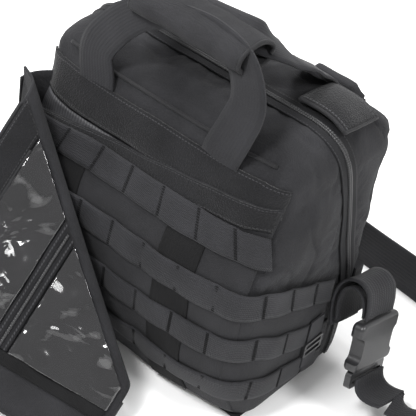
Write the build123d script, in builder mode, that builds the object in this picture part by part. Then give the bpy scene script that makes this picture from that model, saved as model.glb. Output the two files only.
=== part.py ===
from build123d import *
import math
import os

# Trauma backpack: a clamshell pack with webbing rows on the front, a door-like
# flap with clear windows at the left, two carry handles in one grip wrap, and
# a waist belt with a side-release buckle.
# Millimetres. Origin at the middle of the base, +Z up, front towards -Y,
# the wearer's back towards +Y.

# ---- driving dimensions -------------------------------------------------
WIDTH = 286.0            # across the front
HEIGHT = 287.0           # base to the top of the envelope
BACK_Y = 98.0            # plane of the back panel
FRONT_Y = -90.0          # foremost plane of the rounded plan outline
CORNER_Y = -70.0         # where the bowed front meets the sides
BOW_X = 66.0             # half width of the flat middle of the front
WALL = 4.0               # padded fabric wall
SEAM_GAP = 0.4           # half the gap between the two halves at the zipper
TOP_CORNER_R = 40.0
FOOT_CORNER_R = 16.0
FRONT_CORNER_R = 36.0
BACK_CORNER_R = 22.0
REACH = 200.0            # half length of the region prisms

# side outline of the fabric, as (y, z, corner radius)
SIDE_OUTLINE = [
    (98.0, 0.0, 10.0), (98.0, 277.0, 26.0), (10.0, 286.0, 60.0), (-52.0, 275.0, 18.0),
    (-61.0, 232.0, 24.0), (-88.0, 166.0, 50.0), (-88.0, 64.0, 60.0), (-58.0, 0.0, 12.0)]

# zipper line on the sides, as (y, z): up the side, then over the top
SPLIT_LOW = (69.0, -20.0)
SPLIT_BEND = (69.0, 110.0)
SPLIT_TOP = (10.0, 288.0)

BASE_THICK = 5.5
SHELL_FOOT = 6.0         # lower edge of the front shell, above the base panel

# webbing
WEB_ROW = 25.4           # height of a row of load webbing
ROW_TOPS = [214.0, 165.0, 115.0, 65.0]
ROW_DROPS = [0.0, 40.0, 38.0, 22.0]    # how far each row sags along the side
ROW_THICK = 1.4
PANEL_IN, PANEL_OUT = 1.3, 3.0
STRAP_OUT = 4.2          # outer layer of the vertical straps
HANDLE_X = 68.0          # handle legs, each side of the middle
HANDLE_WEB = 38.0
PANEL_TOP = 236.0
PANEL_FOOT = 12.0
PANEL_SIDE_Y = -44.0     # where the front panel ends on the sides
BOOT_TOP, BOOT_DROP = 148.0, 40.0
BOOT_BACK_Y = 56.0
SIDE_ROW_Y = 40.0        # where the side rows end

# flap
FLAP_X, FLAP_Y, FLAP_TOP = -139.0, -87.0, 250.0
FLAP_WIDTH, FLAP_HEIGHT, FLAP_THICK = 285.0, 212.0, 4.0
FOLD_START = 32.0        # where the crease meets the top edge, from the hinge
FOLD_ANGLE = 40.0        # crease from the hinge line
FLAP_OPEN = 10.0         # rest angle of the hinge side from the front
FLAP_FOLDED = 118.0      # rest fold of the free part
FOLD_MARGIN = 7.0        # each panel stops short of the crease axis
FREE_CORNER = (34.0, 62.0)   # the free lower corner is cut back by this much

# belt
BELT_WEB = 50.0
WEB_THICK = 2.0

os.makedirs("parts", exist_ok=True)


def save(part, name):
    """Label a finished part and write it to the parts folder."""
    part.label = name
    export_step(part, f"parts/{name}.step")


def prism_yz(points, half_width, radii=None, grow=0.0):
    """A closed outline in the YZ plane, extruded both ways along X."""
    with BuildPart() as prism:
        with BuildSketch(Plane.YZ) as outline:
            with BuildLine():
                Polyline(*points, close=True)
            make_face()
            if radii:
                corners = [(Vector(y, z, 0), r) for (y, z), r in zip(points, radii)]
                for spot, radius in corners:
                    vertex = outline.vertices().sort_by_distance(spot)[0]
                    fillet(vertex, radius)
            if grow:
                offset(amount=grow, kind=Kind.INTERSECTION)
        extrude(amount=half_width, both=True)
    return prism.part


def envelope(grow):
    """The pack's rounded outer volume, grown outwards by grow."""
    points = [(y, z) for y, z, r in SIDE_OUTLINE]
    radii = [r for y, z, r in SIDE_OUTLINE]
    side = prism_yz(points, REACH, radii, grow)
    wide, tall = WIDTH / 2 + grow, HEIGHT + grow
    with BuildPart() as body:
        add(side)
        with BuildSketch(Plane.XZ):
            with BuildLine():
                Polyline((-wide, -grow), (wide, -grow), (wide, tall), (-wide, tall), close=True)
            face = make_face()
            low = face.vertices().group_by(Axis.Y)[0]
            high = face.vertices().group_by(Axis.Y)[-1]
            fillet(low, FOOT_CORNER_R + grow)
            fillet(high, TOP_CORNER_R + grow)
        extrude(amount=REACH, both=True, mode=Mode.INTERSECT)
        front, corner, back = FRONT_Y - grow, CORNER_Y - grow, BACK_Y + grow
        with BuildSketch(Plane.XY):
            with BuildLine():
                Polyline((-wide, corner), (-BOW_X, front), (BOW_X, front), (wide, corner),
                         (wide, back), (-wide, back), close=True)
            plan = make_face()
            rows = plan.vertices().group_by(Axis.Y)
            fillet(rows[-1], BACK_CORNER_R + grow)
            fillet(rows[1], FRONT_CORNER_R + grow)
        extrude(amount=2 * REACH, both=True, mode=Mode.INTERSECT)
    return body.part


def block(x0, x1, y0, y1, z0, z1):
    """A plain box between two corners."""
    with BuildPart() as cell:
        with Locations(((x0 + x1) / 2, (y0 + y1) / 2, (z0 + z1) / 2)):
            Box(x1 - x0, y1 - y0, z1 - z0)
    return cell.part


SKINS = {}


def skin(grow):
    """envelope(grow), made once for each thickness."""
    if grow not in SKINS:
        SKINS[grow] = envelope(grow)
    return SKINS[grow]


def layer(inner, outer, *regions):
    """The cloth layer between two skins, kept inside every region."""
    with BuildPart() as sheet:
        add(skin(outer))
        add(skin(inner), mode=Mode.SUBTRACT)
        for region in regions:
            add(region, mode=Mode.INTERSECT)
    return sheet.part


def split_region(front, shift=0.0):
    """Everything in front of, or behind, the zipper line moved by shift along Y."""
    line = [(SPLIT_LOW[0] + shift, SPLIT_LOW[1]), (SPLIT_BEND[0] + shift, SPLIT_BEND[1]),
            (SPLIT_TOP[0] + shift, SPLIT_TOP[1]), (SPLIT_TOP[0] + shift, 2 * REACH)]
    far = -REACH if front else REACH
    return prism_yz(line + [(far, 2 * REACH), (far, SPLIT_LOW[1])], REACH)


FRONT_SIDE = split_region(True, -SEAM_GAP)
BACK_SIDE = split_region(False, SEAM_GAP)

# ---- front half and base ------------------------------------------------
with BuildPart() as base_panel:
    add(skin(0.0))
    add(block(-REACH, REACH, -REACH, SPLIT_LOW[0] - SEAM_GAP, 0, BASE_THICK), mode=Mode.INTERSECT)
save(base_panel.part, "base_panel")

with BuildPart() as base_stiffener:
    with BuildSketch(Plane.XY.offset(SHELL_FOOT + 0.5)):
        with Locations((0, 8)):
            RectangleRounded(236, 96, 12)
    extrude(amount=2.0)
save(base_stiffener.part, "base_stiffener")

with BuildPart() as front_shell:
    add(layer(-WALL, 0.0, FRONT_SIDE, block(-REACH, REACH, -REACH, REACH, SHELL_FOOT, 2 * REACH)))
save(front_shell.part, "front_shell")

PAD_INNER = -WALL - 3.6
with BuildPart() as front_liner_pad:
    add(layer(PAD_INNER, -WALL - 0.1, block(-116, 116, -REACH, -30, 24, 246)))
save(front_liner_pad.part, "front_liner_pad")

with BuildPart() as inner_mesh_pocket:
    add(layer(PAD_INNER - 1.6, PAD_INNER - 0.2, block(-104, 104, -REACH, -34, 32, 140)))
save(inner_mesh_pocket.part, "inner_mesh_pocket")

with BuildPart() as front_pocket_panel:
    panel_zone = block(-REACH, REACH, -REACH, PANEL_SIDE_Y, PANEL_FOOT, PANEL_TOP)
    add(layer(PANEL_IN, PANEL_OUT, panel_zone))
save(front_pocket_panel.part, "front_pocket_panel")



def boot_band(low, high):
    """Side region of the boot between its lower line and its sloping top line."""
    back_low = low if low == PANEL_FOOT else low - BOOT_DROP
    return prism_yz([(PANEL_SIDE_Y + 0.2, low), (PANEL_SIDE_Y + 0.2, high),
                     (BOOT_BACK_Y, high - BOOT_DROP), (BOOT_BACK_Y, back_low)], REACH)


AHEAD_OF_ZIPPER = split_region(True, -12.0)
with BuildPart() as boot_side_panels:
    add(layer(0.0, PANEL_OUT, boot_band(PANEL_FOOT, BOOT_TOP), AHEAD_OF_ZIPPER))
save(boot_side_panels.part, "boot_side_panels")


def row_region(top, drop, depth):
    """Level across the front, then sagging by drop along each side."""
    start = PANEL_SIDE_Y - 16
    with BuildPart() as band:
        add(block(-REACH, REACH, -REACH, start, top - WEB_ROW, top))
        add(prism_yz([(start - 0.5, top), (depth, top - drop), (depth, top - drop - WEB_ROW),
                      (start - 0.5, top - WEB_ROW)], REACH))
    return band.part


for number, (top, drop) in enumerate(zip(ROW_TOPS, ROW_DROPS), start=1):
    depth = PANEL_SIDE_Y if number == 1 else SIDE_ROW_Y
    row = layer(STRAP_OUT, STRAP_OUT + ROW_THICK, row_region(top, drop, depth))
    save(row, f"molle_row_{number}")

for name, side in (("left", -1), ("right", 1)):
    strap_zone = block(side * HANDLE_X - HANDLE_WEB / 2, side * HANDLE_X + HANDLE_WEB / 2,
                       -REACH, -30, PANEL_FOOT + 2, ROW_TOPS[0])
    save(layer(PANEL_OUT, STRAP_OUT, strap_zone), f"vertical_strap_{name}")

save(layer(PANEL_OUT, STRAP_OUT + 0.2, block(-134, 134, -REACH, PANEL_SIDE_Y, ROW_TOPS[0] + 0.3, PANEL_TOP)),
     "panel_loop_strip")
save(layer(0.0, PANEL_IN - 0.1, block(-REACH, REACH, -REACH, PANEL_SIDE_Y, 197, 221.8)), "hook_strip")
save(layer(0.0, PANEL_IN - 0.1, block(-REACH, REACH, -REACH, PANEL_SIDE_Y, 222, 260)), "wide_loop_strip")

# piping along the top seam of the front, and round the boot
with BuildPart() as seam_piping:
    add(layer(0.0, 1.6, block(-128, 128, -REACH, -30, 266, 270)))
    add(layer(0.0, 2.4, boot_band(BOOT_TOP + 0.2, BOOT_TOP + 3), AHEAD_OF_ZIPPER))
save(seam_piping.part, "seam_piping")


def zipper_half(front):
    """Tape and tooth row of one half of the main zipper."""
    sign = -1 if front else 1
    near, far = sign * SEAM_GAP, sign * 11.0
    tape_zone = split_region(front, near)
    tape_limit = split_region(not front, far)
    teeth_limit = split_region(not front, sign * 3.4)
    above = block(-REACH, REACH, -REACH, REACH, 18, 2 * REACH)
    with BuildPart() as half:
        add(layer(0.0, 1.0, tape_zone, tape_limit, above))
        add(layer(0.9, 2.4, tape_zone, teeth_limit, above))
    return half.part


save(zipper_half(True), "zipper_front_half")
save(zipper_half(False), "zipper_back_half")

# hinge gusset of the flap, from the left front edge out to the flap's hinge
with BuildPart() as flap_gusset:
    add(block(FLAP_X - 1.0, FLAP_X + 1.0, FLAP_Y + 3.5, -46, 42, 186))
    add(skin(STRAP_OUT + ROW_THICK + 0.3), mode=Mode.SUBTRACT)
save(flap_gusset.part, "flap_gusset")

# ---- back half ----------------------------------------------------------
with BuildPart() as back_shell:
    add(layer(-WALL, 0.0, BACK_SIDE))
save(back_shell.part, "back_shell")

SHEET_W, SHEET_Z0, SHEET_Z1 = 216.0, 16.0, 262.0
with BuildPart() as frame_sheet:
    with BuildSketch(Plane.XZ.offset(-(BACK_Y - WALL - 2.8))):
        with Locations((0, (SHEET_Z0 + SHEET_Z1) / 2)):
            RectangleRounded(SHEET_W, SHEET_Z1 - SHEET_Z0, 22)
    extrude(amount=1.6)
save(frame_sheet.part, "frame_sheet")

with BuildPart() as frame_stays:
    for side in (-1, 1):
        add(block(side * 52 - 9.5, side * 52 + 9.5, BACK_Y - WALL - 2.6, BACK_Y - WALL - 0.2, 20, 256))
save(frame_stays.part, "frame_stays")

with BuildPart() as divider_panel:
    with BuildSketch(Plane.XZ.offset(-(BACK_Y - WALL - 6.0))):
        with Locations((0, 130)):
            RectangleRounded(240, 216, 14)
    extrude(amount=2.0)
save(divider_panel.part, "divider_panel")

DIVIDER_FACE = BACK_Y - WALL - 8.0
with BuildPart() as elastic_loops:
    for height in (85, 130, 175):
        for step in range(4):
            middle = -78 + 52 * step
            add(block(middle - 21, middle + 21, DIVIDER_FACE - 5.6, DIVIDER_FACE - 4.0, height, height + 25))
            for foot in (middle - 21, middle + 19):
                add(block(foot, foot + 2, DIVIDER_FACE - 4.2, DIVIDER_FACE, height, height + 25))
save(elastic_loops.part, "elastic_loops")


def pad(width, depth, height, radius, crown):
    """A pad with rounded outline and a softened outer edge, on the XZ plane at y = 0."""
    with BuildPart() as cushion:
        with BuildSketch(Plane.XZ):
            RectangleRounded(width, height, radius)
        extrude(amount=-depth)
        fillet(cushion.faces().sort_by(Axis.Y)[-1].edges(), crown)
    return cushion.part


PAD_FACE = BACK_Y + 0.3
with BuildPart() as back_pads:
    shape = pad(104, 8, 160, 18, 3.5)
    for side in (-1, 1):
        add(Pos(side * 66, PAD_FACE, 170) * shape)
save(back_pads.part, "back_pads")

with BuildPart() as lumbar_pad:
    add(Pos(0, PAD_FACE, 46) * pad(236, 9, 62, 20, 4.0))
save(lumbar_pad.part, "lumbar_pad")

# ---- shoulder straps ----------------------------------------------------
STRAP_X = 62.0
STRAP_WIDTH = 58.0
YOKE_Y = 106.0            # pivot of the shoulder straps, in front of the wearer's side
STRAP_BOW = [(112.0, 258.0), (130.0, 214.0), (140.0, 168.0), (135.0, 118.0), (124.0, 84.0)]
STRAP_THICK = 10.0


def ribbon_yz(centre, thick):
    """A ribbon's edge-on outline, as points each side of a centre line in YZ."""
    left, right = [], []
    last = len(centre) - 1
    for i, (y, z) in enumerate(centre):
        y0, z0 = centre[max(i - 1, 0)]
        y1, z1 = centre[min(i + 1, last)]
        run = math.hypot(y1 - y0, z1 - z0)
        ny, nz = -(z1 - z0) / run, (y1 - y0) / run
        left.append((y + ny * thick / 2, z + nz * thick / 2))
        right.append((y - ny * thick / 2, z - nz * thick / 2))
    return left + right[::-1]


with BuildPart() as shoulder_yoke:
    with BuildSketch(Plane.XZ.offset(-(BACK_Y + 0.1))):
        with Locations((0, 264)):
            RectangleRounded(206, 12, 4)
    extrude(amount=-2.2)
save(shoulder_yoke.part, "shoulder_yoke")

for name, side in (("left", -1), ("right", 1)):
    with BuildPart() as shoulder_strap:
        add(Pos(side * STRAP_X, 0, 0) * prism_yz(ribbon_yz(STRAP_BOW, STRAP_THICK), STRAP_WIDTH / 2))
        fillet(shoulder_strap.edges().filter_by(Axis.X), 2.5)
        with BuildSketch(Plane.XZ.offset(-(YOKE_Y - 3.2))):
            with Locations((side * STRAP_X, 259)):
                Rectangle(46, 16)
        extrude(amount=-12)
    save(shoulder_strap.part, f"shoulder_strap_{name}")

    # ladder lock at the lower end of the strap
    with BuildPart() as ladder_lock:
        with BuildSketch(Plane.XZ.offset(-119)):
            with Locations((side * STRAP_X, 68)):
                RectangleRounded(34, 24, 3)
                with Locations((0, 5), (0, -5)):
                    Rectangle(26, 5, mode=Mode.SUBTRACT)
        extrude(amount=-4.5)
    save(ladder_lock.part, f"ladder_lock_{name}")

    with BuildPart() as strap_webbing:
        path = [(116.0, 57.0), (111.0, 36.0), (108.6, 22.0)]
        add(Pos(side * STRAP_X, 0, 0) * prism_yz(ribbon_yz(path, 1.6), 12.5))
    save(strap_webbing.part, f"strap_webbing_{name}")

# ---- handles ------------------------------------------------------------


def handle(base, top, half_base, half_top, web, bar):
    """A U of webbing in the slanted plane from base (y, z) to top (y, z)."""
    run = math.hypot(top[0] - base[0], top[1] - base[1])
    up = Vector(0, top[0] - base[0], top[1] - base[1]).normalized()
    plane = Plane(origin=(0, base[0], base[1]), x_dir=(1, 0, 0), z_dir=Vector(1, 0, 0).cross(up))
    inner_top = half_top - web / 2
    with BuildPart() as loop:
        with BuildSketch(plane):
            with BuildLine():
                Polyline((-half_base - web / 2, 0), (-half_top, run), (half_top, run),
                         (half_base + web / 2, 0), (half_base - web / 2, 0), (inner_top, run - bar),
                         (-inner_top, run - bar), (-half_base + web / 2, 0), close=True)
            make_face()
        extrude(amount=1.3, both=True)
    return loop.part


FRONT_BASE, FRONT_GRIP = (-60.0, 262.0), (-39.0, 346.0)
REAR_BASE, REAR_GRIP = (84.0, 282.5), (-21.0, 344.0)
front_loop = handle(FRONT_BASE, FRONT_GRIP, HANDLE_X, 66.0, HANDLE_WEB, 20.0)
save(front_loop, "front_handle")
save(handle(REAR_BASE, REAR_GRIP, 84.0, 66.0, HANDLE_WEB, 20.0), "rear_handle")

GRIP_LENGTH = 120.0
with BuildPart() as grip_wrap:
    with BuildSketch(Plane.YZ.offset(-GRIP_LENGTH / 2)):
        with Locations(Location((-41.5, 336.0, 0), (0, 0, -14.0))):
            RectangleRounded(15, 28, 6)
            RectangleRounded(2.8, 20.6, 0.9, mode=Mode.SUBTRACT)
    extrude(amount=GRIP_LENGTH)
    add(front_loop, mode=Mode.SUBTRACT)
save(grip_wrap.part, "grip_wrap")

# ---- port flap on the top ----------------------------------------------
save(layer(1.0, 4.2, block(76, 123, 25, 76, 200, 2 * REACH)), "port_flap")

# ---- flap with clear windows -------------------------------------------
open_rad, fold_rad = math.radians(FLAP_OPEN), math.radians(FLAP_FOLDED)
tilt = math.radians(FOLD_ANGLE)
HINGE_TOP = Vector(FLAP_X, FLAP_Y, FLAP_TOP)
ACROSS = Vector(math.cos(open_rad), -math.sin(open_rad), 0)
DOWN = Vector(0, 0, -1)
FOLD = ACROSS * math.sin(tilt) + DOWN * math.cos(tilt)
AWAY = ACROSS * math.cos(tilt) - DOWN * math.sin(tilt)
TOWARDS_FRONT = Vector(-math.sin(open_rad), -math.cos(open_rad), 0)
FREE_AWAY = AWAY * math.cos(fold_rad) + TOWARDS_FRONT * math.sin(fold_rad)
FREE_ACROSS = FOLD * math.sin(tilt) + FREE_AWAY * math.cos(tilt)
FREE_DOWN = FOLD * math.cos(tilt) - FREE_AWAY * math.sin(tilt)
fold_foot = FOLD_START + FLAP_HEIGHT * math.tan(tilt)
shift_along = FOLD_MARGIN / math.cos(tilt)    # the margin, measured along the top edge
FOLD_TOP = HINGE_TOP + ACROSS * FOLD_START


def cloth_plane(corner, across, down):
    """Plane on the flap: x runs across it, y runs down it, z points to its window side."""
    return Plane(origin=corner, x_dir=across, z_dir=across.cross(down))


free_plane = cloth_plane(FOLD_TOP, FREE_ACROSS, FREE_DOWN)

with BuildPart() as flap_hinge_panel:
    with BuildSketch(cloth_plane(HINGE_TOP, ACROSS, DOWN)):
        with BuildLine():
            Polyline((3, 0), (FOLD_START - shift_along, 0), (fold_foot - shift_along, FLAP_HEIGHT),
                     (3, FLAP_HEIGHT), close=True)
        make_face()
    extrude(amount=FLAP_THICK / 2, both=True)
save(flap_hinge_panel.part, "flap_hinge_panel")

free_width = FLAP_WIDTH - FOLD_START


def free_sheet(x0, x1, y0, y1, z0, z1):
    """A sheet on the free part of the flap, kept clear of the crease.

    x runs across from the crease's top end, y down from the top edge, z from
    the middle of the cloth towards the window side."""
    with BuildPart() as sheet:
        with BuildSketch(free_plane.offset(z0)):
            with BuildLine():
                Polyline((shift_along, 0), (free_width, 0), (free_width, FLAP_HEIGHT - FREE_CORNER[1]),
                         (free_width - FREE_CORNER[0], FLAP_HEIGHT),
                         (shift_along + FLAP_HEIGHT * math.tan(tilt), FLAP_HEIGHT), close=True)
            make_face()
            with BuildLine():
                Polyline((x0, y0), (x1, y0), (x1, y1), (x0, y1), close=True)
            make_face(mode=Mode.INTERSECT)
        extrude(amount=z1 - z0)
    return sheet.part


half_cloth = FLAP_THICK / 2
WINDOW_X, WINDOW_Y0, ZIP_Y, WINDOW_Y1 = 206.0, 29.0, 94.0, 204.0
save(free_sheet(0, free_width, 0, FLAP_HEIGHT, -half_cloth, half_cloth), "flap_free_panel")
save(free_sheet(0, free_width - 8, 2, 27, half_cloth, half_cloth + 1.2), "flap_loop_strip")
save(free_sheet(0, WINDOW_X, WINDOW_Y0, ZIP_Y - 9, half_cloth, half_cloth + 0.8), "flap_window_upper")
save(free_sheet(0, WINDOW_X, ZIP_Y + 9, WINDOW_Y1, half_cloth, half_cloth + 0.8), "flap_window_lower")
save(free_sheet(0, WINDOW_X, ZIP_Y - 8.5, ZIP_Y + 8.5, half_cloth, half_cloth + 1.2), "flap_zipper")
save(free_sheet(WINDOW_X + 0.3, WINDOW_X + 12, 28, WINDOW_Y1, half_cloth, half_cloth + 1.2), "flap_end_binding")

with BuildPart() as flap_slider:
    with BuildSketch(free_plane.offset(half_cloth + 1.5)):
        with Locations((184, ZIP_Y)):
            RectangleRounded(11, 8, 2)
            with Locations((-17, 0)):
                RectangleRounded(26, 5, 1.5)
    extrude(amount=1.8)
save(flap_slider.part, "flap_slider")

# ---- sliders of the main zipper, parked on the left side ----------------
track_run = math.hypot(SPLIT_TOP[0] - SPLIT_BEND[0], SPLIT_TOP[1] - SPLIT_BEND[1])
TRACK = Vector(0, (SPLIT_TOP[0] - SPLIT_BEND[0]) / track_run, (SPLIT_TOP[1] - SPLIT_BEND[1]) / track_run)
TRACK_ACROSS = Vector(-1, 0, 0).cross(TRACK)
SLIDER_OUT = 3.0         # slider's inner face, outside the cloth
for name, along in (("lower", 60.0), ("upper", 100.0)):
    centre = Vector(-WIDTH / 2 - SLIDER_OUT, SPLIT_BEND[0], SPLIT_BEND[1]) + TRACK * along
    seat = Plane(origin=centre, x_dir=TRACK, z_dir=(-1, 0, 0))
    with BuildPart() as slider:
        with BuildSketch(seat):
            RectangleRounded(16, 10, 3)
        extrude(amount=3.2)
        with BuildSketch(seat.offset(3.1)):
            with Locations((-3, 0)):
                Rectangle(3, 5)
        extrude(amount=2.6)
    save(slider.part, f"slider_{name}")
    pivot = centre + Vector(-4.4, 0, 0) - TRACK * 3
    hang = Plane(origin=pivot, x_dir=(0, -1, 0), z_dir=(-1, 0, 0))
    with BuildPart() as pull:
        with BuildSketch(hang.offset(2.2)):
            with Locations((0, -17)):
                SlotOverall(34, 9, rotation=90)
        extrude(amount=1.6)
    save(pull.part, f"pull_{name}")

# ---- waist belt ---------------------------------------------------------
# The right half hangs in its own frame, leaning forwards and outwards:
# x out from the pack, y across the webbing, z up along it, origin at the
# middle of the buckle's top edge.
BELT_FRAME = Pos(188, 62, 94) * Rot(-16, 0, 0) * Rot(0, -10, 0)
BUCKLE_DEEP, BUCKLE_WIDE, BUCKLE_TALL = 13.0, 68.0, 48.0
half_web = BELT_WEB / 2


def ribbon_xz(centre, thick, y0, y1):
    """A ribbon of webbing across Y, along a centre line of (x, z) points."""
    with BuildPart() as ribbon:
        with BuildSketch(Plane.XZ.offset(-y0)):
            with BuildLine():
                Polyline(*ribbon_yz(centre, thick), close=True)
            make_face()
        extrude(amount=-(y1 - y0))
    return ribbon.part


side_face = WIDTH / 2
web_line = [(-31.0, -16.0), (-34.0, 14.0), (-26.0, 30.0), (-10.0, 31.0), (-1.0, 18.0), (0.0, 1.0)]
save(BELT_FRAME * ribbon_xz(web_line, WEB_THICK, -half_web, half_web), "belt_webbing_right")

for name, side in (("right", 1), ("left", -1)):
    with BuildPart() as belt_anchor:
        edge = sorted((side * 120, side * (side_face + 3.2)))
        add(block(*edge, 80, 94, 84, 112))
        add(skin(0.3), mode=Mode.SUBTRACT)
        outer = belt_anchor.faces().sort_by(Axis.X)[-1 if side > 0 else 0]
        chamfer(outer.edges(), 0.8)
    save(belt_anchor.part, f"belt_anchor_{name}")

with BuildPart() as buckle_female:
    with BuildSketch(Plane.YZ.offset(-BUCKLE_DEEP / 2)):
        with Locations((0, -BUCKLE_TALL / 2)):
            RectangleRounded(BUCKLE_WIDE, BUCKLE_TALL, 6)
    extrude(amount=BUCKLE_DEEP)
    fillet(buckle_female.edges().filter_by(Axis.Z), 3.5)
    # side openings for the release arms, and the pocket for the male half
    for side in (-1, 1):
        with BuildSketch(Plane.YZ.offset(-BUCKLE_DEEP / 2)):
            with Locations((side * BUCKLE_WIDE / 2, -BUCKLE_TALL + 22)):
                SlotOverall(26, 15, rotation=90)
        extrude(amount=BUCKLE_DEEP, mode=Mode.SUBTRACT)
    with BuildSketch(Plane.XY.offset(-BUCKLE_TALL)):
        Rectangle(7.4, 48)
    extrude(amount=32, mode=Mode.SUBTRACT)
save(BELT_FRAME * buckle_female.part, "buckle_female")

with BuildPart() as buckle_male:
    with BuildSketch(Plane.YZ.offset(-3)):
        with Locations((0, -BUCKLE_TALL - 9)):
            RectangleRounded(62, 16, 4)
            with Locations((0, -1)):
                Rectangle(52, 4.5, mode=Mode.SUBTRACT)
        with Locations((0, -BUCKLE_TALL + 8)):
            Rectangle(10, 24)
        for side in (-1, 1):
            with Locations((side * 18, -BUCKLE_TALL + 11)):
                Rectangle(8, 30)
    extrude(amount=6)
save(BELT_FRAME * buckle_male.part, "buckle_male")

tail_line = [(5.0, -BUCKLE_TALL - 9.0), (7.0, -BUCKLE_TALL - 18.0), (14.0, -BUCKLE_TALL - 25.0),
             (32.0, -BUCKLE_TALL - 24.0)]
save(BELT_FRAME * ribbon_xz(tail_line, WEB_THICK, -half_web, half_web), "belt_tail")

FLOOR_ROUTE = [(252.0, 46.0), (284.0, 112.0), (226.0, 202.0), (0.0, 226.0), (-222.0, 202.0),
               (-262.0, 110.0), (-212.0, 72.0)]
ROUTE_RADII = [40, 80, 200, 80, 30]
with BuildPart() as belt_floor_strap:
    with BuildSketch(Plane.XY.offset(0.4)):
        with BuildLine():
            FilletPolyline(*FLOOR_ROUTE, radius=ROUTE_RADII)
        trace(line_width=WEB_THICK)
    extrude(amount=BELT_WEB)
save(belt_floor_strap.part, "belt_floor_strap")

left_line = [(-side_face - 5.0, 108.0), (-side_face - 14, 102.0), (-side_face - 30, 72.0),
             (-side_face - 42, 36.0), (-side_face - 54, 6.0)]
save(ribbon_xz(left_line, WEB_THICK, 72 - half_web, 72 + half_web), "belt_webbing_left")

# short side strap with its slide, in front of the buckle
side_line = [(side_face + 8.6, 34.0), (side_face + 9.2, 92.0)]
save(ribbon_xz(side_line, 1.6, 10, 30), "side_strap")
with BuildPart() as side_strap_slide:
    with BuildSketch(Plane.YZ.offset(side_face + 6.8)):
        with Locations((20, 58)):
            RectangleRounded(27, 17, 2.5)
            Rectangle(21.4, 12, mode=Mode.SUBTRACT)
            Rectangle(26, 2.6)
    extrude(amount=4.4)
    add(ribbon_xz(side_line, 2.2, 9.6, 30.4), mode=Mode.SUBTRACT)
save(side_strap_slide.part, "side_strap_slide")
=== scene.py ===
import math
import bmesh
import bpy
import numpy as np
from mathutils import Matrix, Vector, noise
from mathutils.bvhtree import BVHTree


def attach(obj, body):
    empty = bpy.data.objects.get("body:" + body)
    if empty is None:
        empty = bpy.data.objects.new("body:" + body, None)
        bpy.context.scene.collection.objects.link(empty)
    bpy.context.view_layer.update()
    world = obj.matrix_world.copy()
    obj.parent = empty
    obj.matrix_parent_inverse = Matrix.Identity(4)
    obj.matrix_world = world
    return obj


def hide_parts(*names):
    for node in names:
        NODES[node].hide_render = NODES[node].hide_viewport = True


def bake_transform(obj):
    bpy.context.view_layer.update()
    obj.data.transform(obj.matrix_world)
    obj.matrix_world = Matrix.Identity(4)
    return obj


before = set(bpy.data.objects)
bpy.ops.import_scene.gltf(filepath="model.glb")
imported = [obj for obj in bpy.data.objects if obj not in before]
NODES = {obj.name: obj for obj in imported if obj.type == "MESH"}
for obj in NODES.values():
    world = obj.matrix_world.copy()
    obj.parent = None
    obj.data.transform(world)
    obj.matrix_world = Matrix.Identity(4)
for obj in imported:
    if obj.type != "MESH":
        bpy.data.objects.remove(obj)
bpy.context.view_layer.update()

# Lengths are in millimetres unless a name or comment says metres.
UP = np.array([0.0, 0.0, 1.0])


# ---------------------------------------------------------------- materials
RIB_FREQUENCY = {"rib": 4200.0, "hook": 1900.0, "coil": 2600.0}    # per metre along the piece
THREAD = (0.035, 0.035, 0.038, 1)


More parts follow.
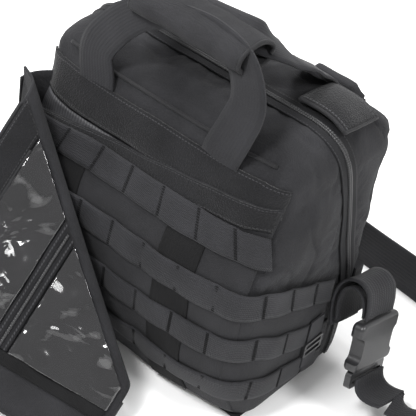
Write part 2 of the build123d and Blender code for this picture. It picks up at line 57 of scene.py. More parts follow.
def build_mat(name, colour, rough, sheen=0.0, coat=0.0, bump=None, dist=0.0004, vary=0.3,
              alpha=1.0, metal=0.0, stitch=None):
    """A cloth, film, plastic or metal.

    bump picks the surface, dist is its depth in metres, and stitch is how far
    from each edge a line of thread runs and how wide it is, as shares of the width."""
    material = bpy.data.materials.new(name)
    material.use_nodes = True
    nodes, links = material.node_tree.nodes, material.node_tree.links
    surface = nodes["Principled BSDF"].inputs
    surface["Roughness"].default_value = rough
    surface["Metallic"].default_value = metal
    surface["Sheen Weight"].default_value = sheen
    surface["Sheen Roughness"].default_value = 0.5
    surface["Coat Weight"].default_value = coat
    surface["Coat Roughness"].default_value = 0.06
    surface["Alpha"].default_value = alpha
    surface["Specular IOR Level"].default_value = 0.22 if rough > 0.69 else 0.5
    coords = nodes.new("ShaderNodeTexCoord")

    def texture(kind, **values):
        made = nodes.new("ShaderNode" + kind)
        for key, value in values.items():
            made.inputs[key].default_value = value
        links.new(coords.outputs["Object"], made.inputs["Vector"])
        return made.outputs[0]

    def split(output):
        made = nodes.new("ShaderNodeSeparateXYZ")
        links.new(coords.outputs[output], made.inputs[0])
        return made.outputs

    def calc(operation, first, second=0.0):
        made = nodes.new("ShaderNodeMath")
        made.operation = operation
        for index, value in enumerate((first, second)):
            if isinstance(value, (int, float)):
                made.inputs[index].default_value = value
            else:
                links.new(value, made.inputs[index])
        return made.outputs[0]

    stains = texture("TexNoise", Scale=22.0, Detail=4.0)
    grain = texture("TexNoise", Scale=900.0, Detail=2.0)
    shade = calc("ADD", calc("MULTIPLY", stains, 0.6), calc("MULTIPLY", grain, 0.4))
    height = grain
    if bump == "weave":
        threads = [calc("SINE", calc("MULTIPLY", axis, 5200.0)) for axis in split("Object")[:3]]
        crossing = calc("ADD", calc("MULTIPLY", threads[0], threads[2]),
                        calc("MULTIPLY", threads[1], threads[2]))
        height = calc("ADD", calc("MULTIPLY", crossing, 0.35), grain)
        shade = calc("ADD", shade, calc("MULTIPLY", crossing, 0.04))
    flat = split("UV")
    if bump in RIB_FREQUENCY:
        along = calc("SINE", calc("MULTIPLY", flat[0], RIB_FREQUENCY[bump]))
        across = calc("SINE", calc("MULTIPLY", flat[1], 75.0))
        height = calc("ADD", calc("MULTIPLY", along, 0.5),
                      calc("MULTIPLY", across, 0.3 if bump == "rib" else 0.0))
        shade = calc("ADD", shade, calc("MULTIPLY", height, 0.08 if bump == "rib" else 0.25))
    if bump == "film":               # soft creases of a clear film
        height = texture("TexNoise", Scale=17.0, Detail=2.0, Distortion=1.5)
    if bump == "loop":
        height = calc("ADD", texture("TexVoronoi", Scale=700.0), grain)
    ramp = nodes.new("ShaderNodeValToRGB")
    dark, light = ramp.color_ramp.elements
    dark.position, light.position = 0.3, 0.72
    base = np.array(colour)
    dark.color = (*(base * (1 - vary)), 1)
    light.color = (*np.minimum(base * (1 + 2 * vary) + 0.004, 1), 1)
    links.new(shade, ramp.inputs[0])
    shown = ramp.outputs[0]
    if stitch:                       # a dashed line of thread near each edge
        inset, width = stitch
        from_middle = calc("ABSOLUTE", calc("SUBTRACT", flat[1], 0.5))
        line = calc("LESS_THAN", calc("ABSOLUTE", calc("SUBTRACT", from_middle, 0.5 - inset)), width)
        dash = calc("GREATER_THAN", calc("SINE", calc("MULTIPLY", flat[0], 1900.0)), -0.35)
        mix = nodes.new("ShaderNodeMixRGB")
        links.new(calc("MULTIPLY", line, dash), mix.inputs[0])
        links.new(shown, mix.inputs[1])
        mix.inputs[2].default_value = THREAD
        shown = mix.outputs[0]
        height = calc("SUBTRACT", height, calc("MULTIPLY", line, 0.8))
    links.new(shown, surface["Base Color"])
    relief = nodes.new("ShaderNodeBump")
    relief.inputs["Strength"].default_value = 0.55
    relief.inputs["Distance"].default_value = dist
    links.new(height, relief.inputs["Height"])
    links.new(relief.outputs[0], surface["Normal"])
    return material


MAT = {
    "nylon": build_mat("m_nylon", (0.0105, 0.0105, 0.0120), 0.84, 0.03, bump="weave", dist=0.0009, vary=0.4),
    "webbing": build_mat("m_webbing", (0.0125, 0.0125, 0.0145), 0.74, 0.04, bump="rib", dist=0.0008),
    "webbing_dark": build_mat("m_webbing_dark", (0.0022, 0.0022, 0.0026), 0.9, bump="rib"),
    "loop": build_mat("m_loop", (0.0036, 0.0036, 0.0044), 0.95, 0.08, bump="loop", dist=0.0012, vary=0.4,
                      stitch=(0.07, 0.012)),
    "hook": build_mat("m_hook", (0.030, 0.030, 0.033), 0.6, bump="hook", dist=0.0006),
    "lining": build_mat("m_lining", (0.10, 0.10, 0.105), 0.7, 0.2, bump="weave"),
    "mesh": build_mat("m_mesh", (0.012, 0.012, 0.014), 0.8, bump="loop", alpha=0.85),
    "spacer": build_mat("m_spacer", (0.010, 0.010, 0.011), 0.9, 0.1, bump="loop", dist=0.002),
    "elastic": build_mat("m_elastic", (0.010, 0.010, 0.011), 0.75, bump="rib"),
    "piping": build_mat("m_piping", (0.0075, 0.0075, 0.0085), 0.7, 0.05, bump="weave"),
    "vinyl": build_mat("m_vinyl", (0.006, 0.006, 0.007), 0.12, coat=1.0, vary=0.2, bump="film", dist=0.014,
                       alpha=0.8),
    "zip_tape": build_mat("m_zip_tape", (0.005, 0.005, 0.006), 0.85, 0.02, bump="rib", stitch=(0.16, 0.04)),
    "zip_coil": build_mat("m_zip_coil", (0.007, 0.007, 0.008), 0.5, bump="coil", dist=0.001),
    "slider_metal": build_mat("m_slider_metal", (0.03, 0.03, 0.033), 0.35, metal=0.8),
    "buckle": build_mat("m_buckle", (0.008, 0.008, 0.009), 0.42, coat=0.1, dist=0.0002),
    "sheet": build_mat("m_sheet", (0.05, 0.05, 0.055), 0.5),
    "stay": build_mat("m_stay", (0.55, 0.56, 0.58), 0.35, metal=1.0),
}


# ---------------------------------------------------------------- mesh helpers
def finish_piece(piece, body, nodes):
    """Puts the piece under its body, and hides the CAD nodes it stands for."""
    bpy.context.view_layer.update()
    if body:
        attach(piece, body)
    if nodes:
        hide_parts(*nodes)
    return piece


def new_object(name, mesh):
    made = bpy.data.objects.new(name, mesh)
    bpy.context.scene.collection.objects.link(made)
    return made


def dress(mesh, mat):
    mesh.materials.clear()
    mesh.materials.append(MAT[mat])
    mesh.polygons.foreach_set("use_smooth", [True] * len(mesh.polygons))


def mesh_obj(name, verts, faces, uvs, mat, body=None, nodes=()):
    mesh = bpy.data.meshes.new(name)
    mesh.from_pydata([tuple(v) for v in (np.array(verts) / 1000.0)], [], faces)
    layer = mesh.uv_layers.new(name="UVMap")
    for loop in mesh.loops:
        layer.data[loop.index].uv = uvs[loop.vertex_index]
    dress(mesh, mat)
    mesh.update()
    return finish_piece(new_object(name, mesh), body, nodes)


def unit(vectors):
    return vectors / (np.linalg.norm(vectors, axis=-1)[..., None] + 1e-9)


def length_along(points):
    """Distance from the start of a line of points to each of them."""
    steps = np.linalg.norm(np.diff(points, axis=0), axis=-1)
    return np.concatenate([0 * steps[:1], np.cumsum(steps, 0)])


def slab(name, points, thick, mat, body=None, nodes=(), normal=None, puff=0.0):
    """A sheet through the grid points[i][j]; i runs along it and j across it.

    puff makes its middle thicker than its edges."""
    points = np.array(points, dtype=float)
    rows, columns = points.shape[:2]
    if normal is None:
        normal = unit(np.cross(np.gradient(points, axis=0), np.gradient(points, axis=1)))
    swell = np.ones((rows, columns))
    if puff:
        along, across = np.linspace(0, 1, rows)[:, None], np.linspace(0, 1, columns)[None, :]
        middle = np.clip(np.sin(np.pi * across), 0, 1) ** 0.5 * np.clip(np.sin(np.pi * along), 0, 1) ** 0.3
        swell = swell + puff * middle
    top = points + normal * (thick / 2 * swell)[..., None]
    under = points - normal * (thick / 2)
    verts = np.concatenate([top.reshape(-1, 3), under.reshape(-1, 3)])
    share = np.linspace(0, 1, columns)[None, :].repeat(rows, 0)
    flat = np.stack([length_along(points) / 1000.0, share], 2).reshape(-1, 2)
    uvs = [tuple(uv) for uv in np.concatenate([flat, flat])]
    below = rows * columns

    def at(i, j):
        return i * columns + j

    faces = []
    for i in range(rows - 1):
        for j in range(columns - 1):
            corners = (at(i, j), at(i + 1, j), at(i + 1, j + 1), at(i, j + 1))
            faces.append(corners)
            faces.append(tuple(below + corner for corner in (corners[0], corners[3], corners[2], corners[1])))
    last = columns - 1
    for i in range(rows - 1):
        faces.append((at(i, 0), below + at(i, 0), below + at(i + 1, 0), at(i + 1, 0)))
        faces.append((at(i, last), at(i + 1, last), below + at(i + 1, last), below + at(i, last)))
    last = rows - 1
    for j in range(columns - 1):
        faces.append((at(0, j), at(0, j + 1), below + at(0, j + 1), below + at(0, j)))
        faces.append((at(last, j), below + at(last, j), below + at(last, j + 1), at(last, j + 1)))
    return mesh_obj(name, verts, faces, uvs, mat, body, nodes)


def spline(corners, count):
    """Smooth curve of count points through the corners, evenly spaced."""
    corners = np.array(corners, dtype=float)
    run = length_along(corners)
    slope = np.gradient(corners, run, axis=0)
    place = np.linspace(0, run[-1], count)
    index = np.clip(np.searchsorted(run, place, side="right") - 1, 0, len(run) - 2)
    span = run[index + 1] - run[index]
    t = ((place - run[index]) / span)[:, None]
    span = span[:, None]
    return ((2 * t**3 - 3 * t**2 + 1) * corners[index] + (t**3 - 2 * t**2 + t) * span * slope[index]
            + (-2 * t**3 + 3 * t**2) * corners[index + 1] + (t**3 - t**2) * span * slope[index + 1])


def tube(name, path, radius, mat, body=None, nodes=(), ring=8):
    """A round cord or piping along the path."""
    path = np.array(path, dtype=float)
    tangents = unit(np.gradient(path, axis=0))
    run = length_along(path) / 1000
    verts, faces, uvs = [], [], []
    for point, tangent, place in zip(path, tangents, run):
        side = unit(np.cross(tangent, np.array([0.13, 0.21, 0.97])))
        other = np.cross(tangent, side)
        for step in range(ring):
            turn = 2 * math.pi * step / ring
            verts.append(point + radius * (math.cos(turn) * side + math.sin(turn) * other))
            uvs.append((place, step / ring))
    for i in range(len(path) - 1):
        for step in range(ring):
            after = (step + 1) % ring
            faces.append((i * ring + step, i * ring + after, (i + 1) * ring + after, (i + 1) * ring + step))
    faces.append(tuple(range(ring))[::-1])
    faces.append(tuple(range((len(path) - 1) * ring, len(path) * ring)))
    return mesh_obj(name, verts, faces, uvs, mat, body, nodes)


# ---------------------------------------------------------------- shape of the body, before it bulges
HALF_WIDTH, BACK_Y, MIDDLE_Y = 143, 98, 20
FRONT_PROFILE = spline([(0, -64), (30, -79), (64, -87), (110, -88.5), (166, -87), (205, -72), (235, -60),
                        (262, -55), (300, -50)], 90)     # height, then y of the front
TOP_Y, TOP_Z = [-60, -30, 10, 98], [272, 281, 286, 277]
SPLIT_Y, SPLIT_Z = 69.0, 110                             # the zipper's side run ends here
CENTRE = np.array([0.0, 15.0, 140.0])


def round_max(a, b, radius):
    """The larger of two distances, with the corner between them rounded."""
    over_a, over_b = np.maximum(a + radius, 0), np.maximum(b + radius, 0)
    return np.minimum(-radius, np.maximum(a, b)) + np.sqrt(over_a * over_a + over_b * over_b)


def field(points):
    """Below 0 inside the body and above 0 outside."""
    x, y, z = points[..., 0], points[..., 1], points[..., 2]
    wide = np.abs(x)
    bow = 14 * np.clip((wide - 45) / 98, 0, 1.3) ** 2
    front = np.interp(z, FRONT_PROFILE[:, 0], FRONT_PROFILE[:, 1]) + bow - y
    back = y - BACK_Y
    side = wide - HALF_WIDTH
    top = z - np.interp(y, TOP_Y, TOP_Z)
    foot = -z
    edges = [(side, front, 15), (side, back, 22), (side, top, 32), (side, foot, 9),
             (top, front, 16), (top, back, 26), (foot, front, 7), (foot, back, 8)]
    return np.maximum.reduce([round_max(*edge) for edge in edges])


def root(starts, directions, far=420.0):
    """Where the rays leave the body."""
    near, beyond = np.zeros(starts.shape[:-1]), np.full(starts.shape[:-1], far)
    for _ in range(26):
        middle = (near + beyond) / 2
        outside = field(starts + directions * middle[..., None]) > 0
        beyond = np.where(outside, middle, beyond)
        near = np.where(outside, near, middle)
    return starts + directions * beyond[..., None]


def outward(points, step=4.0):
    """Direction away from the body at the points."""
    axes = np.eye(3) * step
    return unit(np.stack([field(points + axis) - field(points - axis) for axis in axes], -1))


def wobble(points, scale, height, seed=0.0):
    """Smooth noise at the points."""
    shift = Vector((seed, seed * 2, 0))
    values = [noise.noise(Vector(p * scale) + shift) * height for p in points.reshape(-1, 3)]
    return np.array(values).reshape(points.shape[:-1])


def split_y(z):
    """The zipper's line, which parts the two halves."""
    return np.where(z < SPLIT_Z, SPLIT_Y, SPLIT_Y - (z - SPLIT_Z) * 59 / 178)


def boot_top(y, slope):
    return np.clip(y + 44, 0, 110) * slope


def seams(points):
    """0 on a sewn seam, 1 away from any."""
    y, z = points[..., 1], points[..., 2]
    near = np.minimum(np.abs(y - split_y(z)), np.abs(z - 4))
    near = np.minimum(near, np.abs(z - 272) + np.maximum(y + 30, 0))
    near = np.minimum(near, np.abs(z - (148 - boot_top(y, 0.4))) + np.maximum(-40 - y, 0))
    return np.clip(near / 28, 0, 1) ** 0.7


def cube_grid(count):
    """Directions over a cube's faces, and the four-sided faces between them."""
    spread = np.tan(np.linspace(-1, 1, count + 1) * math.pi / 4)
    known, directions, faces = {}, [], []
    for axis in range(3):
        for sign in (-1, 1):
            ids = np.zeros((count + 1, count + 1), int)
            for a in range(count + 1):
                for b in range(count + 1):
                    direction = [0.0, 0.0, 0.0]
                    direction[axis] = sign
                    direction[(axis + 1) % 3], direction[(axis + 2) % 3] = spread[a], spread[b]
                    key = tuple(round(value, 5) for value in direction)
                    if key not in known:
                        known[key] = len(directions)
                        directions.append(direction)
                    ids[a, b] = known[key]
            for a in range(count):
                for b in range(count):
                    face = (ids[a, b], ids[a + 1, b], ids[a + 1, b + 1], ids[a, b + 1])
                    faces.append(tuple(int(corner) for corner in (face if sign > 0 else face[::-1])))
    return np.array(directions), faces


def capped(moves, cap):
    """The moves, none longer than its cap."""
    size = np.linalg.norm(moves, axis=1)
    return moves * (np.minimum(size, cap) / (size + 1e-9))[:, None]


def run_cloth(piece, frames):
    """Plays the cloth modifier and gives the vertices in metres."""
    for number in range(1, frames + 1):
        bpy.context.scene.frame_set(number)
    mesh = piece.evaluated_get(bpy.context.evaluated_depsgraph_get()).data
    found = np.empty(len(mesh.vertices) * 3)
    mesh.vertices.foreach_get("co", found)
    return found.reshape(-1, 3)


def inflated(points, faces):
    """The body's skin under a little pressure, held at its seams."""
    mesh = bpy.data.meshes.new("sim")
    mesh.from_pydata([tuple(v) for v in points / 1000], [], faces)
    sim = new_object("sim", mesh)
    pins = sim.vertex_groups.new(name="pin")
    for index, weight in enumerate(seams(points)):
        pins.add([index], float(1 - weight) if weight < 0.5 else 0.0, "REPLACE")
    cloth = sim.modifiers.new("cloth", "CLOTH")
    cloth.settings.use_pressure = True
    cloth.settings.uniform_pressure_force = 4.0
    cloth.settings.vertex_group_mass = "pin"
    cloth.settings.quality = 4
    cloth.settings.tension_stiffness = cloth.settings.compression_stiffness = 12
    cloth.settings.shrink_min = -0.012
    cloth.settings.effector_weights.gravity = 0
    cloth.collision_settings.use_collision = False
    moves = run_cloth(sim, 14) * 1000 - points
    bpy.data.objects.remove(sim)
    bpy.context.scene.frame_set(1)
    low_side = (np.abs(points[:, 0]) > 120) & (points[:, 2] < 120)
    return points + capped(moves, np.where((points[:, 1] < -62) | low_side, 2.6, 6.0))


def calmer(points, normals, faces):
    """The same skin, smoothed along its normals, for what is sewn on."""
    pairs = np.array([(face[i], face[(i + 1) % 4]) for face in faces for i in range(4)])
    smooth = points.copy()
    for _ in range(10):
        total, count = np.zeros_like(smooth), np.zeros(len(smooth))
        np.add.at(total, pairs[:, 0], smooth[pairs[:, 1]])
        np.add.at(count, pairs[:, 0], 1)
        smooth = 0.4 * smooth + 0.6 * total / count[:, None]
    return points + normals * ((smooth - points) * normals).sum(1)[:, None]


directions, SKIN_FACES = cube_grid(60)
directions = directions * np.array([143, 95, 145])
directions /= np.linalg.norm(directions, axis=1)[:, None]
skin = root(np.broadcast_to(CENTRE, directions.shape).copy(), directions)
skin_normals = outward(skin)
skin = inflated(skin, SKIN_FACES)
loose = seams(skin)
creases = np.exp(-(np.abs(wobble(skin * np.array([1, 1, 0.6]), 0.03, 1.0, 11)) / 0.07) ** 2)
calm = np.where((np.abs(skin[:, 0]) > 125) & (skin[:, 2] < 130), 0.4, 1.0)
lift = (wobble(skin, 0.022, 3.4) + wobble(skin, 0.05, 1.7, 7)) * loose * calm + 1.0 * loose
skin = skin + skin_normals * lift[:, None]
calm_skin = calmer(skin, skin_normals, SKIN_FACES)
over = ((skin - calm_skin) * skin_normals).sum(1)
skin = skin - skin_normals * (np.maximum(over - 0.9, 0) + 2.0 * creases * loose)[:, None]
CALM_TREE = BVHTree.FromPolygons([tuple(v) for v in calm_skin], SKIN_FACES)


def drape(points, height):
    """Points of the plain body laid on the pack's own skin, height above it, and their normals."""
    normals = outward(points)
    laid = [CALM_TREE.find_nearest(Vector(p))[0] for p in points.reshape(-1, 3)]
    laid = np.array(laid).reshape(points.shape)
    return laid + normals * (height[..., None] if isinstance(height, np.ndarray) else height), normals


def around(turn, z):
    """Points round the body at height z; turn is 0 at the front."""
    starts = np.stack([0 * turn, 0 * turn + MIDDLE_Y, z], -1)
    return root(starts, np.stack([np.sin(turn), -np.cos(turn), 0 * turn], -1))


def front_at(x, z):
    starts = np.stack([x, 0 * x + MIDDLE_Y, z], -1)
    return root(starts, np.broadcast_to(np.array([0, -1.0, 0]), x.shape + (3,)).copy())


def shell(name, is_front, body, node):
    """One half of the body's skin, cut at the zipper and given a wall."""
    half = bmesh.new()
    verts = [half.verts.new(v) for v in skin]
    for face in SKIN_FACES:
        half.faces.new([verts[i] for i in face])
    corner = Vector((0, SPLIT_Y, SPLIT_Z))
    floor_z = 5.6
    cuts = ((corner, Vector((0, 1, 0))), (corner, Vector((0, 178, 59)).normalized()),
            (Vector((0, 0, floor_z)), Vector((0, 0, 1))))
    for place, direction in cuts:
        everything = half.verts[:] + half.edges[:] + half.faces[:]
        bmesh.ops.bisect_plane(half, geom=everything, plane_co=place, plane_no=direction)
    unwanted = []
    for face in half.faces:
        middle = face.calc_center_median()
        in_front = middle.y < float(split_y(np.array(middle.z)))
        if in_front != is_front or (is_front and middle.z < floor_z):
            unwanted.append(face)
    bmesh.ops.delete(half, geom=unwanted, context="FACES")
    bmesh.ops.scale(half, vec=(0.001,) * 3, verts=half.verts)
    half.normal_update()
    mesh = bpy.data.meshes.new(name)
    half.to_mesh(mesh)
    half.free()
    made = new_object(name, mesh)
    wall = made.modifiers.new("wall", "SOLIDIFY")
    wall.thickness, wall.offset = 0.0035, -1
    made.data = applied(made)
    dress(made.data, "nylon")
    finish_piece(made, body, [node])


def applied(piece):
    """A mesh with the piece's modifiers in it; the modifiers go."""
    bpy.context.view_layer.update()
    mesh = bpy.data.meshes.new_from_object(piece.evaluated_get(bpy.context.evaluated_depsgraph_get()))
    piece.modifiers.clear()
    return mesh


shell("pack_front", True, "front_half", "front_shell")
shell("pack_back", False, "back_half", "back_shell")


# ---------------------------------------------------------------- sewn layers of the front
def always(value):
    return lambda along: 0 * along + value


def panel_top(x):
    """The front pocket's mouth droops to the left."""
    return np.interp(x, [-136, -101, -55, -9, 46, 75, 102, 136], [203, 212, 220, 226, 231, 235, 237, 240])


def front_grid(x0, x1, foot, top, height, count_x, count_z):
    """A grid laid on the front between two lines z = foot(x) and z = top(x)."""
    x = np.linspace(x0, x1, count_x)[:, None].repeat(count_z, 1)
    low, high = foot(x[:, :1]), top(x[:, :1])
    z = low + (high - low) * np.linspace(0, 1, count_z)[None, :]
    return drape(front_at(x, z), np.full(x.shape, float(height)))


def front_strip(name, node, mat, edges, height, thick, puff=0.0, counts=(90, 8)):
    points, normals = front_grid(*edges, height, *counts)
    slab(name, points, thick, mat, "front_half", [node], normals, puff)


front_strip("panel", "front_pocket_panel", "nylon", (-133, 133, always(12), panel_top), 2.2, 1.6, 0, (90, 60))
front_strip("panel_loop", "panel_loop_strip", "loop",
            (-132, 132, lambda x: panel_top(x) - 21, lambda x: panel_top(x) - 1), 3.9, 1.3, 0.2)
front_strip("hook", "hook_strip", "hook", (-133, 133, always(198), always(223)), 1.0, 1.0)
front_strip("wide_loop", "wide_loop_strip", "loop",
            (-134, 134, lambda x: np.interp(x, [-134, 134], [225, 229]),
             lambda x: np.interp(x, [-134, 0, 134], [256, 258, 256])), 1.6, 2.2, 0.25, (90, 10))
for side_name, left_edge in (("left", -87), ("right", 49)):
    points, normals = front_grid(left_edge, left_edge + 38, always(14), always(212), 3.6, 10, 70)
    slab("vertical_" + side_name, points.transpose(1, 0, 2), 1.4, "webbing_dark", "front_half",
         ["vertical_strap_" + side_name], normals.transpose(1, 0, 2))

ROW_TALL, TACK_PITCH = 25.4, 38.1
ROW_TOPS, ROW_DROPS = [214, 165, 115, 65], [0, 40, 38, 22]
ROW_TURNS = np.radians(np.linspace(-112, 112, 260))


def bar_tacks(number, points, normals, place):
    """A zigzag of thread across the row wherever place is a whole number."""
    verts, faces, uvs = [], [], []
    for count in np.arange(math.ceil(place.min() + 0.05), place.max()):
        here = int(np.argmin(np.abs(place - count)))
        out = normals[here][3]
        along = points[min(here + 1, len(points) - 1), 3] - points[here - 1, 3]
        along /= np.linalg.norm(along)
        up = points[here, -1] - points[here, 0]
        up /= np.linalg.norm(up)
        for stitch in range(12):
            share = (stitch + 0.7) / 12.4
            middle = points[here, 0] * (1 - share) + points[here, -1] * share + out * 1.0
            start = len(verts)
            for a, b in ((-1, -0.5), (1, -0.5), (1, 0.5), (-1, 0.5)):
                verts.append(middle + along * a * 1.5 + up * b * 1.3)
                verts.append(middle + along * a * 1.2 + up * b * 0.8 + out * 0.5)
                uvs += [(0, 0), (0, 1)]
            faces.append((start + 1, start + 3, start + 5, start + 7))
            for corner in range(0, 8, 2):
                after = (corner + 2) % 8
                faces.append((start + corner, start + after, start + after + 1, start + corner + 1))
    mesh_obj("tacks_%d" % number, verts, faces, uvs, "webbing_dark", "front_half")


def webbing_row(number, top, drop):
    """One row of load webbing; between its tacks it stands off, and on the sides it drops."""
    base = around(ROW_TURNS, 0 * ROW_TURNS + top - 12)
    run = length_along(base)
    run -= np.interp(0, ROW_TURNS, run)
    if number == 1:
        keep = (np.abs(base[:, 0]) < 137) & (base[:, 1] < 0)
    else:
        keep = base[:, 1] < 42
    turn, run, x, y = ROW_TURNS[keep], run[keep], base[keep, 0], base[keep, 1]
    columns = 7
    share = np.linspace(0, 1, columns)[None, :]
    fall = drop * np.clip((y + 62) / 100, 0, 1) ** 1.1
    if number == 1:
        fall = fall + 12 * np.clip((-x - 60) / 75, 0, 1)
    place = (run - 2) / TACK_PITCH + 0.15
    stand_off = np.abs(np.sin(np.pi * place)) ** 0.7
    z = (top - fall - 0.5 * stand_off)[:, None] - ROW_TALL * (1 - share)
    bulge = (1.3 * stand_off)[:, None] * np.ones((1, columns)) * (1 - 0.25 * (2 * share - 1) ** 2)
    height = 4.2 + bulge - 0.8 * np.clip((y + 20) / 30, 0, 1)[:, None]
    points, normals = drape(around(turn[:, None].repeat(columns, 1), z), height)
    slab("row_%d" % number, points, 1.5, "webbing", "front_half", ["molle_row_%d" % number], normals)
    bar_tacks(number, points, normals, place)


for number, (top, drop) in enumerate(zip(ROW_TOPS, ROW_DROPS), 1):
    webbing_row(number, top, drop)


def boot_side(sign, name, panel_nodes, piping_nodes):
    turn = sign * np.radians(np.linspace(52, 116, 60))
    base = around(turn, 0 * turn + 60)
    keep = base[:, 1] < 56
    turn, y = turn[keep], base[keep, 1]
    share = np.linspace(0, 1, 26)[None, :]
    top = 146 - boot_top(y, 0.42)
    z = 8 + (top[:, None] - 8) * share
    height = 1.4 + 1.0 * np.sin(np.pi * share) * np.ones((len(turn), 1))
    points, normals = drape(around(turn[:, None].repeat(26, 1), z), height)
    slab("boot_" + name, points, 1.4, "nylon", "front_half", panel_nodes, normals)
    tube("boot_piping_" + name, points[:, -1] + normals[:, -1] * 0.6, 1.9, "piping", "front_half",
         piping_nodes)


boot_side(1, "right", ["boot_side_panels"], ["seam_piping"])
boot_side(-1, "left", (), ())
seam_x = np.linspace(-116, 116, 80)[None, :]
points, normals = drape(front_at(seam_x, 0 * seam_x + 270), 0.8)
tube("top_piping", points[0], 1.7, "piping", "front_half")

# ---------------------------------------------------------------- main zipper
ZIP_TURNS = np.radians(np.linspace(-62, 242, 300))
TAPE_LINES = (1.2, 4, 8, 11.5)                           # offsets from the teeth


def zip_line(offset):
    """A line round the body beside the split."""
    y = np.full(ZIP_TURNS.shape, 40.0)
    out = np.stack([np.cos(ZIP_TURNS), 0 * ZIP_TURNS, np.sin(ZIP_TURNS)], -1)
    for _ in range(8):
        line = root(np.stack([0 * ZIP_TURNS, y, 0 * ZIP_TURNS + 140], -1), out)
        y = split_y(line[:, 2]) + offset
    return line


for half, offsets, teeth in (("front", [-line for line in TAPE_LINES[::-1]], 3), ("back", TAPE_LINES, 0)):
    points, normals = drape(np.stack([zip_line(offset) for offset in offsets], 1), 1.0)
    above = points[:, 0, 2] > 8
    points, normals = points[above], normals[above]
    slab("zip_tape_" + half, points, 1.0, "zip_tape", half + "_half", ["zipper_%s_half" % half], normals)
    tube("zip_coil_" + half, points[:, teeth] + normals[:, teeth] * 0.9, 1.5, "zip_coil", half + "_half",
         ring=6)

# ---------------------------------------------------------------- port flap on the top
PORT_CELLS = 24
across = np.linspace(0, 1, PORT_CELLS)[:, None].repeat(PORT_CELLS, 1)
back = np.linspace(0, 1, PORT_CELLS)[None, :].repeat(PORT_CELLS, 0)
starts = np.stack([86 + 43 * across, 17 + 52 * back, 0 * across + 140], -1)
height = 4.0 + 1.5 * np.sin(np.pi * across) * np.sin(np.pi * back) + 4.5 * (1 - back) ** 1.5
points, normals = drape(root(starts, np.broadcast_to(UP, starts.shape).copy()), height)
port = slab("port", points, 3.2, "loop", None, ["port_flap"], normals, 0.5)
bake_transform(port)
rim = np.concatenate([points[:, 0], points[-1, 1:], points[-2::-1, -1], points[0, -2:0:-1], points[:2, 0]])
tube("port_binding", rim, 1.9, "piping", "port_flap")

# ---------------------------------------------------------------- the door-like flap
TILT, OPENED, FOLDED = math.radians(40), math.radians(10), math.radians(118)
FLAP_WIDE, FLAP_TALL, FOLD_START = 285, 212, 32
HINGE_TOP = np.array([-139.0, -87.0, 250.0])
ACROSS, DOWN = np.array([math.cos(OPENED), -math.sin(OPENED), 0]), -UP
FOLD = ACROSS * math.sin(TILT) + DOWN * math.cos(TILT)
AWAY = ACROSS * math.cos(TILT) - DOWN * math.sin(TILT)
TOWARDS_FRONT = np.array([-math.sin(OPENED), -math.cos(OPENED), 0])
FOLD_TOP = HINGE_TOP + ACROSS * FOLD_START
BEND = 14                                                # half the width of the bent strip
STEP = 0.25
BEND_AT = np.linspace(-400, 400, 3201)                   # distance from the crease
bend_share = np.clip((BEND_AT + BEND) / (2 * BEND), 0, 1)
BEND_TURN = FOLDED * bend_share * bend_share * (3 - 2 * bend_share)
BEND_AWAY = np.cumsum(np.cos(BEND_TURN)) * STEP
BEND_FRONT = np.cumsum(np.sin(BEND_TURN)) * STEP
BEND_AWAY -= np.interp(-40, BEND_AT, BEND_AWAY) + 40
WINDOW_EDGE, ZIP_V, SLIDER_U = 238, 94, 212


def flap_points(u, v, height):
    """u is across from the hinge, v down from the top edge, height on the window side."""
    away = (u - FOLD_START) * math.cos(TILT) - v * math.sin(TILT)
    along = (u - FOLD_START) * math.sin(TILT) + v * math.cos(TILT)
    turn = np.interp(away, BEND_AT, BEND_TURN)[..., None]
    normals = -TOWARDS_FRONT * np.cos(turn) + AWAY * np.sin(turn)
    near_slider = np.exp(-((u - SLIDER_U) / 48) ** 2 - ((v - ZIP_V) / 22) ** 2)
    free = np.clip(away / 60, 0, 1) * (1 - 0.97 * near_slider)
    sag = free * (3.2 * np.sin(along / 27 + away / 60) + 2.0 * np.sin(away / 17 + along / 80 + 1)
                  + 2.4 * np.sin((along + away) / 90 + 2))
    pull = np.clip(1 - v / 120, 0, 1) * np.clip(-away / 30, 0, 1)
    flat = FOLD_TOP + FOLD * along[..., None] + AWAY * np.interp(away, BEND_AT, BEND_AWAY)[..., None]
    bent = TOWARDS_FRONT * np.interp(away, BEND_AT, BEND_FRONT)[..., None]
    return flat + bent + normals * (height + sag)[..., None] + np.array([3, 7, 0]) * pull[..., None], normals


def flap_grid(left, right, top, foot, height, count_u, count_v):
    v = np.linspace(top, foot, count_v)[:, None].repeat(count_u, 1)
    low, high = np.clip(left(v), 0, 400), np.clip(right(v), 0, 400)
    u = low + (high - low) * np.linspace(0, 1, count_u)[None, :]
    return flap_points(u, v, height(u, v) if callable(height) else 0 * u + height)


def crease(v):
    return FOLD_START + 9 / math.cos(TILT) + v * math.tan(TILT)


def free_edge(v):
    return FLAP_WIDE - 34 * np.clip((v - 150) / 62, 0, 1)


points, normals = flap_grid(always(3), free_edge, 0, FLAP_TALL, 0, 150, 90)
flap_cloth = slab("flap_cloth", points, 2.6, "nylon", None, ["flap_hinge_panel", "flap_free_panel"], normals)
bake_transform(flap_cloth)


def flap_strip(name, node, mat, edges, height, thick, puff, counts):
    points, normals = flap_grid(*edges, height, *counts)
    if counts[0] > counts[1]:                            # the long way runs across
        points, normals = points.transpose(1, 0, 2), normals.transpose(1, 0, 2)
    slab(name, points, thick, mat, "flap_free_side", [node], normals, puff)


flap_strip("flap_loop", "flap_loop_strip", "loop", (crease, always(277), 2, 27), 2.6, 1.6, 0.2, (90, 8))
flap_strip("flap_zip", "flap_zipper", "zip_tape", (crease, always(WINDOW_EDGE), 85.5, 102.5),
           2.4, 1.0, 0, (90, 8))
flap_strip("flap_end", "flap_end_binding", "webbing_dark", (always(WINDOW_EDGE + 0.5), always(250), 28, 204),
           2.6, 1.6, 0.2, (6, 60))


